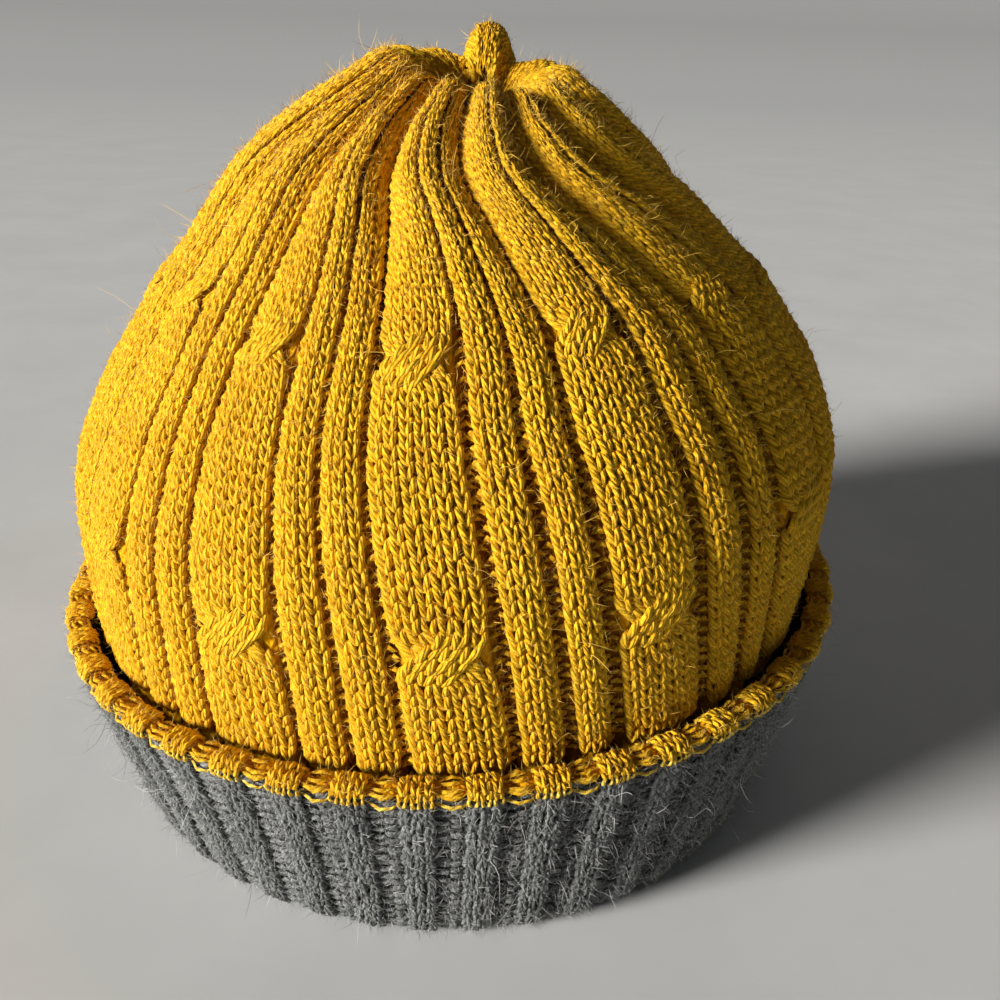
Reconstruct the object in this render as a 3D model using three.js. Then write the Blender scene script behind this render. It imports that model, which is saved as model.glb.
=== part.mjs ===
// A knitted beanie with a turned-up cuff, in millimetres. +Z is up and the front faces -Y.
// Azimuths are in degrees about the upright axis: 0 is the front and 90 is the right, +X.
// The fold of the cuff rests on the plane Z = 0, centred on the origin.

import * as THREE from 'three';

// Driving dimensions
const HAT_HEIGHT = 187;        // fold to the crest of the gathered top
const CROWN_RADIUS = 98;       // widest part of the crown, over its ribs
const CROWN_WALL = 2.2;        // knit left behind a gutter between two ribs
const RIB_DEPTH = 2.3;         // how far the ribs and cables stand above the gutters
const RIM_OVERHANG = 7;        // how far the top of the cuff stands out past the crown
const FOLD_RADIUS = 91.5;      // bottom fold of the cuff, outside
const CUFF_HEIGHT = 52;        // fold to the seam under the rolled edge
const CUFF_WALL = 4.5;         // the turned-up band is two layers thick
const CUFF_RIB_DEPTH = 1.6;    // grooves between the ribs of the cuff
const FOLD_SOFTNESS = 2.6;     // rounding of the fold where it leaves the ground
const FOLD_THICKNESS = 4;      // knit under the crown's edge
const HEM_HEIGHT = 20;         // how far the fold runs up inside the crown
const HEM_WALL = 2.6;
const ROLL_HEIGHT = 4;         // rolled edge above the seam
const ROLL_WIDTH = 7;
const ROLL_RIB_DEPTH = 1.1;    // grooves between the bumps of the rolled edge
const RIM_RISE = 4.5;          // the right of the rim is this much higher, the left as much lower
const FIT_GAP = 0.3;           // between pieces that touch
const HEM_GAP = 0.7;           // slack between the crown's edge and the hem inside it
const REPEATS = 13;            // one cable and two ribs, all the way round the crown
const CUFF_RIBS = 47;          // ribs of the cuff and the rolled edge, all the way round
const FIRST_CABLE = -2;        // azimuth where the front cable starts
const FOLD_DEPTH = 10;         // deepest crease of the gathered top
const CREST_DROP = 10.5;       // how far a crest of the gathered top can be drawn down
const PLEAT_SAG = 6;           // how much lower the crest lies in its deepest crease
const LEAN_RIGHT = 4;          // the crown's axis leans to the right
const LEAN_FORWARD = 17;       // and the gathered top leans to the front
const SHOULDER = 5;            // soft bulge of the left shoulder
const TOP_SWING = 40;          // degrees that the ribs swing round towards the front at the top

const RIM_RADIUS = CROWN_RADIUS + RIM_OVERHANG;
const ROLL_TOP = CUFF_HEIGHT + ROLL_HEIGHT;
const PITCH = 360 / REPEATS;

// One repeat of the knit, from the left edge of a cable: where each point lies as a share of
// the repeat, and how high it stands as a share of the rib depth
const KNIT_POINTS = [
  { across: 0.04, relief: 0.85 },
  { across: 0.235, relief: 1 },
  { across: 0.43, relief: 0.85 },
  { across: 0.48, relief: 0 },
  { across: 0.54, relief: 0.9 },
  { across: 0.69, relief: 0.9 },
  { across: 0.735, relief: 0 },
  { across: 0.785, relief: 0.9 },
  { across: 0.935, relief: 0.9 },
  { across: 0.985, relief: 0 },
];
const HOLLOW_STEPS = 5;        // the plain inside has this many points to a repeat

// Sections of the crown above the rolled edge. Height is a share of the way from the rolled
// edge to the top, radius of the widest radius, and the rest are shares of the named sizes.
const CROWN_ROWS = [
  { height: 0.05, radius: 0.991, ribs: 1, folds: 0, right: 0, ahead: 0, drop: 0, bulge: 0 },
  { height: 0.15, radius: 1, ribs: 1, folds: 0, right: 0.1, ahead: 0, drop: 0, bulge: 0 },
  { height: 0.24, radius: 1.002, ribs: 1, folds: 0, right: 0.2, ahead: 0, drop: 0, bulge: 0 },
  { height: 0.31, radius: 0.99, ribs: 1, folds: 0, right: 0.35, ahead: 0, drop: 0, bulge: 0 },
  { height: 0.38, radius: 0.955, ribs: 1, folds: 0, right: 0.5, ahead: 0, drop: 0, bulge: 0 },
  { height: 0.446, radius: 0.914, ribs: 1, folds: 0.05, right: 0.6, ahead: 0, drop: 0, bulge: 0 },
  { height: 0.53, radius: 0.839, ribs: 1, folds: 0.12, right: 0.6, ahead: 0.06, drop: 0.05, bulge: 0 },
  { height: 0.62, radius: 0.752, ribs: 1, folds: 0.25, right: 0.6, ahead: 0.12, drop: 0.12, bulge: 0.1 },
  { height: 0.69, radius: 0.665, ribs: 0.95, folds: 0.4, right: 0.5, ahead: 0.24, drop: 0.25, bulge: 0.2 },
  { height: 0.767, radius: 0.575, ribs: 0.9, folds: 0.6, right: 0.4, ahead: 0.38, drop: 0.4, bulge: 0.4 },
  { height: 0.83, radius: 0.495, ribs: 0.8, folds: 0.8, right: 0.4, ahead: 0.53, drop: 0.55, bulge: 0.6 },
  { height: 0.884, radius: 0.415, ribs: 0.7, folds: 1, right: 0.5, ahead: 0.7, drop: 0.75, bulge: 0.4 },
  { height: 0.93, radius: 0.342, ribs: 0.55, folds: 1, right: 0.7, ahead: 0.85, drop: 0.9, bulge: 0.1 },
  { height: 0.965, radius: 0.274, ribs: 0.4, folds: 0.8, right: 0.9, ahead: 0.94, drop: 1, bulge: 0 },
  { height: 1, radius: 0.204, ribs: 0.25, folds: 0.5, right: 1.1, ahead: 1, drop: 1, bulge: 0 },
  { height: 0.975, radius: 0.135, ribs: 0.1, folds: 0.3, right: 1.2, ahead: 1, drop: 0.8, bulge: 0 },
  { height: 0.93, radius: 0.08, ribs: 0, folds: 0.15, right: 1.3, ahead: 1, drop: 0.4, bulge: 0 },
  { height: 0.885, radius: 0.036, ribs: 0, folds: 0, right: 1.3, ahead: 1, drop: 0, bulge: 0 },
];
// The crown's edge inside the cuff: height as a share of the way from the fold's knit to the
// top of the rolled edge
const TUCKED_ROWS = [{ height: 0 }, { height: 0.45 }, { height: 1 }];
// The hollow closes over the head with two small rings
const CEILING_ROWS = [
  { height: 0.84, radius: 0.2, right: 0.8, ahead: 0.6, drop: 0.5, bulge: 0 },
  { height: 0.85, radius: 0.08, right: 0.8, ahead: 0.6, drop: 0.5, bulge: 0 },
];
const HOLLOW_ROWS = [1, 3, 5, 7, 8, 9];   // the crown rows that the hollow follows

// Gathered folds, one row for each repeat from the front cable round to the right: the crease
// at its left edge, how far its crest is drawn down, and its share of the shoulder bulge
const FOLDS = [
  { crease: 0.9, drop: 0.45, bulge: 0 },
  { crease: 0.5, drop: 0.5, bulge: 0 },
  { crease: 0.7, drop: 0.6, bulge: 0 },
  { crease: 0.9, drop: 0.5, bulge: 0 },
  { crease: 0.6, drop: 0.25, bulge: 0 },
  { crease: 0.4, drop: 0.2, bulge: 0 },
  { crease: 0.95, drop: -0.5, bulge: 0 },
  { crease: 1, drop: 0.05, bulge: 0.2 },
  { crease: 0.2, drop: 0, bulge: 0.7 },
  { crease: 0.3, drop: 0, bulge: 1 },
  { crease: 0.3, drop: 0, bulge: 1 },
  { crease: 0.35, drop: 0.2, bulge: 0.5 },
  { crease: 0.5, drop: 0.4, bulge: 0 },
];
const CREASE_REACH = 0.5;      // a crease spreads this share of a repeat to each side
const CREASE_SHARPNESS = 2.4;
const FOLD_STEP = 0.7;         // share of a repeat over which one fold's values give way to the next's

// How the ribs swing round as they climb: shares of the top swing at seven azimuths
const SWING_AT = {
  back: -180, backLeft: -140, left: -70, front: -2,
  frontRight: 40, right: 83, backRight: 140,
};
const SWING_ROWS = [
  { height: 0, back: 0, backLeft: 0, left: 0, front: 0,
    frontRight: 0, right: 0, backRight: 0 },
  { height: 0.24, back: 0, backLeft: 0, left: 0.04, front: -0.07,
    frontRight: -0.12, right: 0, backRight: 0 },
  { height: 0.48, back: 0, backLeft: 0, left: 0.04, front: -0.2,
    frontRight: -0.2, right: 0, backRight: 0 },
  { height: 0.7, back: 0, backLeft: 0, left: 0.03, front: -0.26,
    frontRight: -0.32, right: -0.2, backRight: -0.08 },
  { height: 0.79, back: 0, backLeft: 0.03, left: 0.05, front: -0.33,
    frontRight: -0.47, right: -0.43, backRight: -0.2 },
  { height: 0.87, back: -0.05, backLeft: 0.1, left: 0.1, front: -0.48,
    frontRight: -0.65, right: -0.8, backRight: -0.5 },
  { height: 0.95, back: -0.1, backLeft: 0.3, left: 0.2, front: -0.6,
    frontRight: -0.73, right: -1, backRight: -0.72 },
];

// One bump of the rolled edge or rib of the cuff
const BUMP_POINTS = [
  { across: 0.29, relief: 1 },
  { across: 0.57, relief: 1 },
  { across: 0.93, relief: 0 },
];
// Section of the rolled edge: across from its inner face, up from the seam, groove as a share
const ROLL_SECTION = [
  { across: 0.05, up: 0, groove: 0 },
  { across: 0.9, up: 0, groove: 0.6 },
  { across: 1, up: 0.35, groove: 1 },
  { across: 0.9, up: 0.78, groove: 1 },
  { across: 0.6, up: 1, groove: 0.9 },
  { across: 0.25, up: 0.92, groove: 0.5 },
  { across: 0, up: 0.5, groove: 0 },
];
// Outside of the cuff: up as a share of the seam's height, inset as a share of its wall
const BAND_ROWS = [
  { up: 0.3, inset: 0, groove: 1 },
  { up: 0.62, inset: 0, groove: 1 },
  { up: 0.92, inset: 0, groove: 1 },
  { up: 1, inset: 0.2, groove: 0.7 },
  { up: 1, inset: 1, groove: 0 },
  { up: 0.5, inset: 1, groove: 0 },
];

const radians = (degrees) => degrees * Math.PI / 180;
const mix = (from, to, share) => from + (to - from) * share;
const wrap = (index, count) => ((index % count) + count) % count;

function along(rows, key, value, place = 'height') {
  const last = rows.length - 1;
  if (value <= rows[0][place]) return rows[0][key];
  for (let i = 0; i < last; i += 1) {
    const share = (value - rows[i][place]) / (rows[i + 1][place] - rows[i][place]);
    if (share <= 1) return mix(rows[i][key], rows[i + 1][key], share);
  }
  return rows[last][key];
}

// The rim is tilted: it rises towards the right
const rise = (azimuth) => RIM_RISE * Math.sin(radians(azimuth));
const seamHeight = (azimuth) => CUFF_HEIGHT + rise(azimuth);
const rollTop = (azimuth) => ROLL_TOP + rise(azimuth);

// Radius of the cuff's outside and inside faces at a height
function cuffOutside(height, azimuth) {
  return mix(FOLD_RADIUS, RIM_RADIUS, height / seamHeight(azimuth));
}
const cuffInside = (height, azimuth) => cuffOutside(height, azimuth) - CUFF_WALL;

// Radius of the crown's edge where it is tucked into the cuff
function tuckedRadius(height, azimuth) {
  return Math.min(cuffInside(height, azimuth) - FIT_GAP, CROWN_RADIUS);
}

// Azimuth of a rib at the rim, and where it has swung to at a height up the crown
function swing(azimuth, height) {
  const turned = wrap(azimuth + 180, 360) - 180;
  const stops = Object.entries(SWING_AT).map(([key, at]) => (
    { at, turn: along(SWING_ROWS, key, height) }));
  stops.push({ at: 180, turn: stops[0].turn });
  return azimuth + TOP_SWING * along(stops, 'turn', turned, 'at');
}

// A value of the fold table, blended from the middle of one repeat to the middle of the next
function foldValue(key, turns) {
  const centred = turns - 0.5;
  const index = Math.floor(centred);
  const here = FOLDS[wrap(index, FOLDS.length)][key];
  const there = FOLDS[wrap(index + 1, FOLDS.length)][key];
  const step = THREE.MathUtils.smoothstep(centred - index, (1 - FOLD_STEP) / 2, (1 + FOLD_STEP) / 2);
  return mix(here, there, step);
}

function crease(turns) {
  const index = Math.floor(turns);
  const share = turns - index;
  const fade = (distance) => Math.max(0, 1 - distance / CREASE_REACH) ** CREASE_SHARPNESS;
  const here = FOLDS[wrap(index, FOLDS.length)].crease * fade(share);
  return here + FOLDS[wrap(index + 1, FOLDS.length)].crease * fade(1 - share);
}

function ringPoint(radius, azimuth, height) {
  const around = radians(azimuth);
  return new THREE.Vector3(radius * Math.sin(around), -radius * Math.cos(around), height);
}

// A point of the crown: turns counts repeats from the front cable
function crownPoint(row, turns, inset, sunk) {
  const azimuth = FIRST_CABLE + turns * PITCH;
  const base = rollTop(azimuth);
  const foldTurns = turns * FOLDS.length / REPEATS;
  const around = radians(swing(azimuth, row.height));
  const lobe = SHOULDER * row.bulge * foldValue('bulge', foldTurns);
  const drawn = CREST_DROP * row.drop * foldValue('drop', foldTurns);
  const radius = CROWN_RADIUS * row.radius + lobe - inset;
  const height = mix(base, HAT_HEIGHT, row.height) - drawn;
  return new THREE.Vector3(
    radius * Math.sin(around) + LEAN_RIGHT * row.right,
    -radius * Math.cos(around) - LEAN_FORWARD * row.ahead,
    height - sunk,
  );
}

// A point of the crown's edge that is tucked into the cuff
function tuckedPoint(row, turns, inset) {
  const azimuth = FIRST_CABLE + turns * PITCH;
  const height = mix(FOLD_THICKNESS, rollTop(azimuth), row.height) + FIT_GAP;
  const besideRoll = Math.min(RIM_RADIUS - ROLL_WIDTH - FIT_GAP, CROWN_RADIUS);
  const radius = row.height < 1 ? tuckedRadius(height, azimuth) : besideRoll;
  return ringPoint(radius - inset, azimuth, height);
}

// A closed body from rings of points: each pair of neighbouring rings is joined by a band.
// Two rings of unlike count are joined where the longer has a whole multiple of the shorter.
function bandFaces(lower, upper, faces) {
  const count = Math.max(lower.length, upper.length);
  for (let i = 0; i < count; i += 1) {
    const a = lower[Math.floor(i * lower.length / count)];
    const b = lower[wrap(Math.floor((i + 1) * lower.length / count), lower.length)];
    const c = upper[wrap(Math.floor((i + 1) * upper.length / count), upper.length)];
    const d = upper[Math.floor(i * upper.length / count)];
    if (a !== b) faces.push(a, b, c);
    if (c !== d) faces.push(a, c, d);
  }
}

function capFaces(ring, tip, faces, upwards) {
  ring.forEach((here, i) => {
    const next = ring[wrap(i + 1, ring.length)];
    if (upwards) faces.push(here, next, tip);
    else faces.push(next, here, tip);
  });
}

function bodyFromRings(rings, joined) {
  const positions = [];
  const faces = [];
  const numbered = rings.map((ring) => ring.map((point) => {
    positions.push(point.x, point.y, point.z);
    return positions.length / 3 - 1;
  }));
  for (let i = 0; i + 1 < numbered.length; i += 1) bandFaces(numbered[i], numbered[i + 1], faces);
  if (joined) {
    bandFaces(numbered[numbered.length - 1], numbered[0], faces);
  } else {
    const middle = (ring) => ring.reduce((sum, point) => sum.add(point), new THREE.Vector3())
      .divideScalar(ring.length);
    [rings[0], rings[rings.length - 1]].forEach((ring, side) => {
      const tip = middle(ring);
      positions.push(tip.x, tip.y, tip.z);
      capFaces(numbered[side ? numbered.length - 1 : 0], positions.length / 3 - 1, faces, side === 1);
    });
  }
  const geometry = new THREE.BufferGeometry();
  geometry.setAttribute('position', new THREE.Float32BufferAttribute(positions, 3));
  geometry.setIndex(faces);
  geometry.computeVertexNormals();
  return geometry;
}

function named(name, geometry, colour, roughness) {
  const material = new THREE.MeshStandardMaterial({ color: colour, roughness, metalness: 0 });
  const mesh = new THREE.Mesh(geometry, material);
  mesh.name = name;
  return mesh;
}

const SHELL_WALL = RIB_DEPTH + CROWN_WALL;

// Crown: a hollow dome of cables and ribs, gathered at the top and open below
function makeCrown() {
  const columns = [];
  const plain = [];
  for (let repeat = 0; repeat < REPEATS; repeat += 1) {
    KNIT_POINTS.forEach(({ across, relief }) => columns.push({ turns: repeat + across, relief }));
    for (let step = 0; step < HOLLOW_STEPS; step += 1) {
      plain.push(repeat + (step + 0.5) / HOLLOW_STEPS);
    }
  }
  const ceiling = CEILING_ROWS.map((row) => plain.map((turns) => crownPoint(row, turns, 0, 0)));
  const hollow = HOLLOW_ROWS.map((index) => CROWN_ROWS[index]).map((row) => plain.map((turns) => (
    crownPoint(row, turns, SHELL_WALL + FOLD_DEPTH * row.folds, (SHELL_WALL + PLEAT_SAG) * row.drop))));
  const lining = TUCKED_ROWS.map((row) => plain.map((turns) => tuckedPoint(row, turns, SHELL_WALL)));
  const tucked = TUCKED_ROWS.map((row) => columns.map(({ turns, relief }) => (
    tuckedPoint(row, turns, RIB_DEPTH * (1 - relief)))));
  const outside = CROWN_ROWS.map((row) => columns.map(({ turns, relief }) => {
    const groove = RIB_DEPTH * row.ribs * (1 - relief);
    const creased = crease(turns * FOLDS.length / REPEATS);
    return crownPoint(row, turns, groove + FOLD_DEPTH * row.folds * creased, PLEAT_SAG * row.drop * creased);
  }));
  const inside = [...lining, ...hollow, ...ceiling].reverse();
  return named('crown', bodyFromRings([...inside, ...tucked, ...outside], false), 0xd9a21b, 0.95);
}

function bumpColumns() {
  const columns = [];
  for (let rib = 0; rib < CUFF_RIBS; rib += 1) {
    BUMP_POINTS.forEach(({ across, relief }) => {
      columns.push({ azimuth: FIRST_CABLE + (rib + across) * 360 / CUFF_RIBS, relief });
    });
  }
  return columns;
}

// Rolled edge: a ribbed ring that sits on the seam of the cuff
function makeRoll() {
  const columns = bumpColumns();
  const rings = ROLL_SECTION.map(({ across, up, groove }) => columns.map(({ azimuth, relief }) => {
    const cut = ROLL_RIB_DEPTH * groove * (1 - relief);
    const radius = RIM_RADIUS - ROLL_WIDTH * (1 - across) - cut * across;
    const height = seamHeight(azimuth) + FIT_GAP + (ROLL_HEIGHT - FIT_GAP) * up;
    return ringPoint(radius, azimuth, height - cut * up);
  }));
  return named('rolled_edge', bodyFromRings(rings, true), 0xe0a820, 0.95);
}

// Cuff: the turned-up ribbed band, its fold on the ground and a short hem inside the crown
function makeCuff() {
  const columns = bumpColumns();
  const hemColumns = columns.filter((column, index) => index % BUMP_POINTS.length === 0);
  const hemOutside = (height, azimuth) => tuckedRadius(height, azimuth) - SHELL_WALL - HEM_GAP;
  const hemRing = (height, inset) => hemColumns.map(({ azimuth }) => (
    ringPoint(hemOutside(height, azimuth) - inset, azimuth, height)));
  const outer = (height, inset) => columns.map(({ azimuth }) => (
    ringPoint(cuffOutside(height, azimuth) - inset, azimuth, height)));
  const band = BAND_ROWS.map(({ up, inset, groove }) => columns.map(({ azimuth, relief }) => {
    const height = seamHeight(azimuth) * up;
    const cut = CUFF_WALL * inset + CUFF_RIB_DEPTH * groove * (1 - relief);
    return ringPoint(cuffOutside(height, azimuth) - cut, azimuth, height);
  }));
  const rings = [
    outer(0, FOLD_SOFTNESS),
    outer(FOLD_SOFTNESS, 0),
    ...band,
    outer(FOLD_THICKNESS, CUFF_WALL),
    hemRing(FOLD_THICKNESS, 0),
    hemRing(HEM_HEIGHT, 0),
    hemRing(HEM_HEIGHT, HEM_WALL),
    hemRing(FOLD_SOFTNESS, HEM_WALL),
    hemRing(0, HEM_WALL - FOLD_SOFTNESS / 2),
  ];
  return named('cuff', bodyFromRings(rings, true), 0x77787a, 0.97);
}

const beanie = new THREE.Group();
beanie.add(makeCuff(), makeRoll(), makeCrown());

export default beanie;
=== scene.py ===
import bpy
import numpy as np
from mathutils import Matrix, Vector


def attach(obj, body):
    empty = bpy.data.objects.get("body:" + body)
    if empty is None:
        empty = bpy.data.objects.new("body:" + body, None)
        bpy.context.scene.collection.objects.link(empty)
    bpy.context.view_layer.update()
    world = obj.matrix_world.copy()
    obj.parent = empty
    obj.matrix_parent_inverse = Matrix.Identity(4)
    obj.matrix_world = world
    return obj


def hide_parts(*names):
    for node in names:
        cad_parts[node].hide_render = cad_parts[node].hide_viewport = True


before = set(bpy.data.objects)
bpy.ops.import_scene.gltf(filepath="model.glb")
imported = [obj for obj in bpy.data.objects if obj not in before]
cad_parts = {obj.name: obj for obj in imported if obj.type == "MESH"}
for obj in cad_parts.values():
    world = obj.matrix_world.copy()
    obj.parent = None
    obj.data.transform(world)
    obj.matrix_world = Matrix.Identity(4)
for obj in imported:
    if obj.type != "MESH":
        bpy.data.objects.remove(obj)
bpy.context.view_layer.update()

# A knitted beanie with a turned-up cuff, stitch by stitch. Lengths are in millimetres until a
# mesh is made. Azimuth 0 is the front, -Y, and 90 is the right, +X.
MM = 0.001
rng = np.random.default_rng(11)

# Driving dimensions of the solids
HAT_HEIGHT = 187
CROWN_RADIUS = 98
RIB_DEPTH = 2.3
RIM_RADIUS = 105
CUFF_HEIGHT = 52
CUFF_RIB_DEPTH = 1.6
ROLL_HEIGHT = 4
ROLL_WIDTH = 7
ROLL_TOP = CUFF_HEIGHT + ROLL_HEIGHT
RIM_RISE = 4.5
REPEATS = 13
PITCH = 360 / REPEATS
FIRST_CABLE = -2
FOLD_DEPTH = 10
CREST_DROP = 10.5
LEAN_RIGHT = 4
LEAN_FORWARD = 17
SHOULDER = 5
TOP_SWING = 40
PLEAT_SAG = 6

# Stitches
ROW_HEIGHT = 2.95
WALES = 18
RIB_WALES = 5
RIB_COUNT = 47
CROWN_ROW_COUNT = 61
YARN_SINK = 0.55

# Levels of the crown, from under the rolled edge to the bottom of the dimple. Height is a share
# of the way up from the rolled edge, radius one of the crown's radius, and the others say how much
# of the ribs, folds, lean to the right and ahead, drop and bulge of the folds each level has.
CROWN_COLUMNS = ("height", "radius", "ribs", "folds", "right", "ahead", "drop", "bulge")
CROWN_ROWS = np.array([
    (-0.09, 0.975, 1, 0, 0, 0, 0, 0),
    (0.0, 0.984, 1, 0, 0, 0, 0, 0),
    (0.05, 0.991, 1, 0, 0, 0, 0, 0),
    (0.15, 1, 1, 0, 0.1, 0, 0, 0),
    (0.24, 1.002, 1, 0, 0.2, 0, 0, 0),
    (0.31, 0.99, 1, 0, 0.35, 0, 0, 0),
    (0.38, 0.955, 1, 0, 0.5, 0, 0, 0),
    (0.446, 0.914, 1, 0.05, 0.6, 0, 0, 0),
    (0.53, 0.839, 1, 0.12, 0.6, 0.06, 0.05, 0),
    (0.62, 0.752, 1, 0.25, 0.6, 0.12, 0.12, 0.1),
    (0.69, 0.665, 1, 0.4, 0.5, 0.24, 0.25, 0.2),
    (0.767, 0.575, 1, 0.6, 0.4, 0.38, 0.4, 0.4),
    (0.83, 0.495, 0.95, 0.8, 0.4, 0.53, 0.55, 0.6),
    (0.884, 0.415, 0.95, 1.05, 0.5, 0.7, 0.75, 0.4),
    (0.93, 0.342, 0.9, 1.1, 0.7, 0.85, 0.9, 0.1),
    (0.965, 0.274, 0.7, 1.05, 0.9, 0.94, 1, 0),
    (0.995, 0.204, 0.5, 0.95, 1.1, 1, 1, 0),
    (0.98, 0.13, 0.4, 0.6, 1.2, 1, 0.95, 0),
    (0.93, 0.065, 0.2, 0.3, 1.3, 1, 0.8, 0),
    (0.86, 0.03, 0.1, 0.1, 1.3, 1, 0.6, 0),
])
# Gathered folds by repeat, from the front cable round to the right: the depth of the crease before
# each one, the drop of its crest and the bulge of its shoulder
FOLDS = {
    "crease": np.array([0.9, 0.5, 0.7, 0.9, 0.6, 0.4, 0.95, 1, 0.2, 0.3, 0.3, 0.35, 0.5]),
    "drop": np.array([0.45, 0.5, 0.6, 0.5, 0.25, 0.2, -0.5, 0.05, 0, 0, 0, 0.2, 0.4]),
    "bulge": np.array([0, 0, 0, 0, 0, 0, 0, 0.2, 0.7, 1, 1, 0.5, 0]),
}
CREASE_REACH = 0.5
CREASE_SHARPNESS = 2.4
FOLD_STEP = 0.7
# How far the ribs swing round on their way up: a row for each azimuth, a column for each height
SWING_AT = np.array([-180, -140, -70, -2, 40, 83, 140, 180])
SWING_HEIGHTS = np.array([0, 0.24, 0.48, 0.7, 0.79, 0.87, 0.95])
SWINGS = np.array([
    (0, 0, 0, 0, 0, -0.05, -0.1),
    (0, 0, 0, 0, 0.03, 0.1, 0.3),
    (0, 0.04, 0.04, 0.03, 0.05, 0.1, 0.2),
    (0, -0.07, -0.2, -0.26, -0.33, -0.48, -0.6),
    (0, -0.12, -0.2, -0.32, -0.47, -0.65, -0.73),
    (0, 0, 0, -0.2, -0.43, -0.8, -1),
    (0, 0, 0, -0.08, -0.2, -0.5, -0.72),
    (0, 0, 0, 0, 0, -0.05, -0.1),
])

# Where each wale's edge lies across a repeat, with its gutters shut and with them open
WALE_EDGES = np.array([0, 6, 8, 11, 13, 16, 18])
SHUT = np.array([0, 0.466, 0.492, 0.716, 0.746, 0.97, 1])
OPEN = np.array([0, 0.43, 0.505, 0.69, 0.765, 0.925, 1])
# How far open the gutters are by azimuth, and over which run up the crown they close
OPEN_AT = np.array([-180, -120, -60, -10, 25, 80, 130, 180])
OPEN_SHARE = np.array([0.4, 0.25, 0.05, 0.1, 0.9, 1, 0.6, 0.4])
OPEN_UNTIL = (60, 115)
# How high the knit stands above its gutters, across one repeat
RELIEF_AT = np.array([0, 0.5, 1.5, 3, 4.5, 5.5, 6, 7, 8, 8.5, 9.5, 10.5, 11, 12,
                      13, 13.5, 14.5, 15.5, 16, 17, 18])
RELIEF = np.array([0.3, 0.75, 0.95, 1, 0.95, 0.75, 0.3, 0, 0.3, 0.75, 1, 0.75, 0.3, 0,
                   0.3, 0.75, 1, 0.75, 0.3, 0, 0.3])

# Rows where each repeat's cable crosses: first and second crossing
CROSSINGS = np.array([
    (9, 29), (10, 31), (13.5, 32), (11, 30), (9, 29), (12, 31), (10, 30),
    (11, 32), (9, 30), (12, 31), (10, 29), (11, 31), (9, 29),
])
# Rows from the middle of a crossing at which the front and back strands set off and arrive
FRONT_STRAND = (-2.4, 2)
BACK_STRAND = (-2.2, 2.2)
FRONT_LIFT = 0.5
BACK_DROP = 0.3
STRAND_SPREAD = 0.35
# Share by which a crossing draws in its cable from the right, and over how many rows each way
EDGE_PULL = 0.1
PULL_REACH = 4


def smooth(knots, values, at):
    """A cubic curve through the values, held level past both ends."""
    slopes = np.gradient(values, knots)
    index = np.clip(np.searchsorted(knots, at, side="right") - 1, 0, len(knots) - 2)
    span = knots[index + 1] - knots[index]
    t = np.clip((at - knots[index]) / span, 0, 1)
    rise_from = slopes[index] * span
    rise_to = slopes[index + 1] * span
    step = values[index + 1] - values[index]
    return values[index] + t * (rise_from + t * (
        3 * step - 2 * rise_from - rise_to + t * (rise_from + rise_to - 2 * step)))


def ease(t):
    t = np.clip(t, 0, 1)
    return t * t * (3 - 2 * t)


def bell(t):
    """A hump from 0 to 1 and back as t goes from 0 to 1."""
    return np.sin(np.pi * np.clip(t, 0, 1))


def rise(azimuth):
    """How much higher the rim stands on the right, or lower on the left."""
    return RIM_RISE * np.sin(np.radians(azimuth))


def ring_point(radius, azimuth, height):
    around = np.radians(azimuth)
    return np.stack([radius * np.sin(around), -radius * np.cos(around), height + 0 * around], -1)


ROW = {name: CROWN_ROWS[:, i] for i, name in enumerate(CROWN_COLUMNS)}
PROFILE = np.stack([ROW["radius"] * CROWN_RADIUS,
                    ROLL_TOP + (HAT_HEIGHT - ROLL_TOP) * ROW["height"]], 1)
ARC = np.concatenate([[0], np.cumsum(np.linalg.norm(np.diff(PROFILE, axis=0), axis=1))])
RIM_ARC = ARC[1]
CLIMB = np.maximum.accumulate(ROW["height"])


def swing(azimuth, climb):
    """Azimuth of a rib at the rim turned to where it has swung at this height."""
    turned = (azimuth + 180) % 360 - 180
    index = np.clip(np.searchsorted(SWING_AT, turned, side="right") - 1, 0, len(SWING_AT) - 2)
    turns = np.stack([smooth(SWING_HEIGHTS, row, climb) for row in SWINGS])
    share = (turned - SWING_AT[index]) / (SWING_AT[index + 1] - SWING_AT[index])
    here = np.take_along_axis(turns, index[None], 0)[0]
    there = np.take_along_axis(turns, index[None] + 1, 0)[0]
    return azimuth + TOP_SWING * (here + (there - here) * share)


def fold_value(key, turns):
    centred = turns - 0.5
    index = np.floor(centred).astype(int)
    here = FOLDS[key][index % REPEATS]
    there = FOLDS[key][(index + 1) % REPEATS]
    return here + (there - here) * ease((centred - index - (1 - FOLD_STEP) / 2) / FOLD_STEP)


def crease(turns):
    index = np.floor(turns).astype(int)
    share = turns - index

    def fade(distance):
        return np.maximum(0, 1 - distance / CREASE_REACH) ** CREASE_SHARPNESS
    here = FOLDS["crease"][index % REPEATS] * fade(share)
    return here + FOLDS["crease"][(index + 1) % REPEATS] * fade(1 - share)


def across(wale, azimuth, arc):
    """Share of a repeat at which a wale lies, with the gutters open on the right and low down."""
    turned = (azimuth + 180) % 360 - 180
    opened = np.interp(turned, OPEN_AT, OPEN_SHARE)
    opened = opened * (1 - ease((arc - OPEN_UNTIL[0]) / (OPEN_UNTIL[1] - OPEN_UNTIL[0])))
    shut = np.interp(wale, WALE_EDGES, SHUT)
    return shut + (np.interp(wale, WALE_EDGES, OPEN) - shut) * opened


def crown_relief(wale):
    return np.interp(wale % WALES, RELIEF_AT, RELIEF)


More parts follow.
